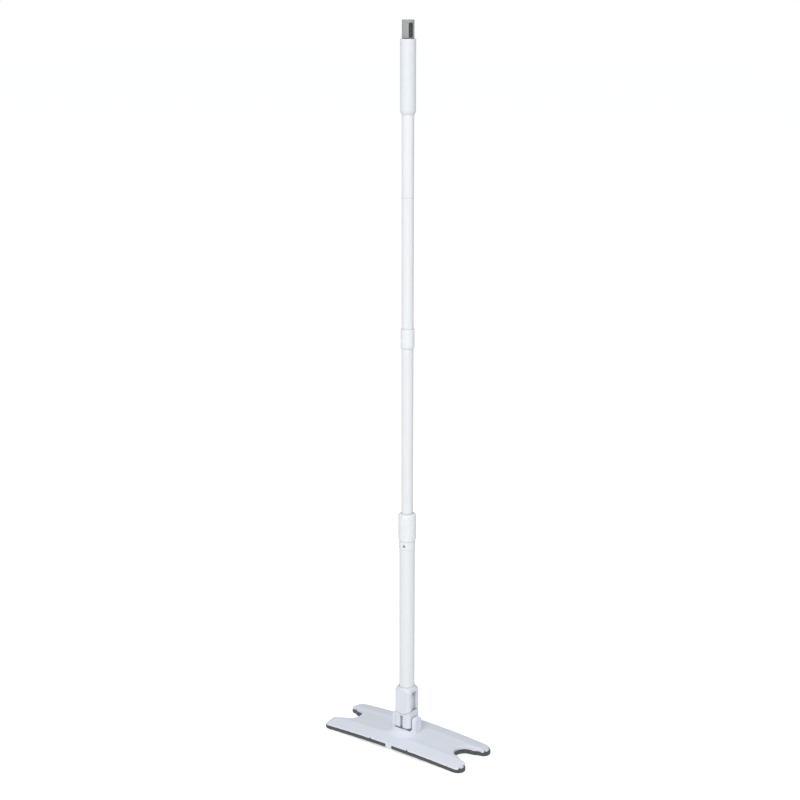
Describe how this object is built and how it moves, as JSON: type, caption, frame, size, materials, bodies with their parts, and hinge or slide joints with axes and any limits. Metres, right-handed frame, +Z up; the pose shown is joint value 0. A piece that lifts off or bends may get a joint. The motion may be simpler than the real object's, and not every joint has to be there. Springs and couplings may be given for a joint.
{
  "type": "flat mop",
  "caption": "Flat floor mop with a bone-shaped head, a two-way tilting joint and a telescoping twist-lock pole with grip and hanging cap.",
  "frame": {"origin": "on the floor, under the pole's axis, at the middle of the head", "axes": "+Z up along the upright pole, +X along the head's long axis, -Y towards the head's front edge"},
  "size_m": [0.284, 0.104, 1.1775],
  "materials": {
    "grey_plastic": "satin",
    "grip_white": "soft matte",
    "tube_white": "white powder coat",
    "fitting_white": "satin",
    "inner_plastic": "matte",
    "steel": "bright",
    "joint_white": "satin",
    "plate_white": "satin",
    "pad_grey": "matte",
    "hook_black": "hook tape"
  },
  "bodies": {
    "head": {"head_plate": "plate_white", "base_pad_left": "pad_grey", "base_pad_right": "pad_grey", "hook_strips": "hook_black", "tilt_pin": "steel", "tilt_washers": "steel"},
    "knuckle": {"knuckle": "joint_white"},
    "lower_pole": {"pole_socket": "joint_white", "side_pin": "steel", "socket_screw": "steel", "outer_tube": "tube_white", "lock_sleeve": "fitting_white", "lock_collet": "inner_plastic"},
    "collar": {"lock_collar": "fitting_white"},
    "upper_pole": {"guide_bush": "inner_plastic", "inner_tube": "tube_white", "inner_insert": "inner_plastic", "coupling_stud": "inner_plastic", "coupling_ring": "fitting_white", "middle_insert": "inner_plastic", "middle_tube": "tube_white", "middle_plug": "inner_plastic", "upper_insert": "inner_plastic", "upper_tube": "tube_white", "grip_sleeve": "grip_white", "hanging_cap": "grey_plastic"}
  },
  "joints": [
    {"name": "forward_tilt", "type": "hinge", "parent": "head", "child": "knuckle", "pos_m": [0, 0, 0.038], "axis": [1, 0, 0], "range_deg": [-70, 70]},
    {"name": "side_tilt", "type": "hinge", "parent": "knuckle", "child": "lower_pole", "pos_m": [0, 0, 0.076], "axis": [0, 1, 0], "range_deg": [-75, 75]},
    {"name": "collar_twist", "type": "hinge", "parent": "lower_pole", "child": "collar", "pos_m": [0, 0, 0.379], "axis": [0, 0, 1], "range_deg": [0, 90]},
    {"name": "pole_slide", "type": "slide", "parent": "lower_pole", "child": "upper_pole", "axis": [0, 0, 1], "range_m": [-0.18, 0]}
  ]
}
